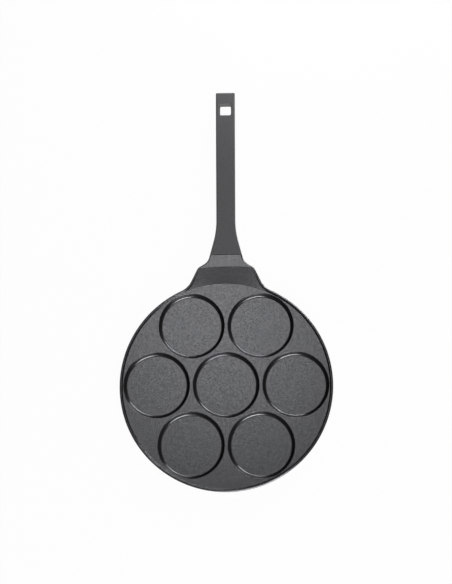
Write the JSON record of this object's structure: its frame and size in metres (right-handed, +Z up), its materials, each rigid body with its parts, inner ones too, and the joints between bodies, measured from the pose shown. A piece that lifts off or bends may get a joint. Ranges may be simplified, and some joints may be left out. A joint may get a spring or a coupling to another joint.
{
  "type": "pancake pan",
  "caption": "Flat round cast pan with shallow round recesses for small pancakes, a low rim, a sloped bay at the neck and a straight moulded handle with a square hanging hole.",
  "frame": {"origin": "centre of the round base face, on the surface the pan stands on", "axes": "+Z up out of the recesses, +Y towards the end of the handle, +X to the right when the handle points away"},
  "size_m": [0.27, 0.5211, 0.0277],
  "materials": {
    "nonstick_coating": "cast aluminium under a dark grey speckled non-stick coating, satin; the turned base face is bare metal",
    "handle_moulding": "dark grey heat-proof moulding with a fine matt soft-touch surface",
    "plated_steel": "bright zinc-plated steel"
  },
  "bodies": {
    "root": {"pan_body": "nonstick_coating", "handle": "handle_moulding", "handle_screw": "plated_steel", "spring_washer": "plated_steel"}
  },
  "joints": []
}
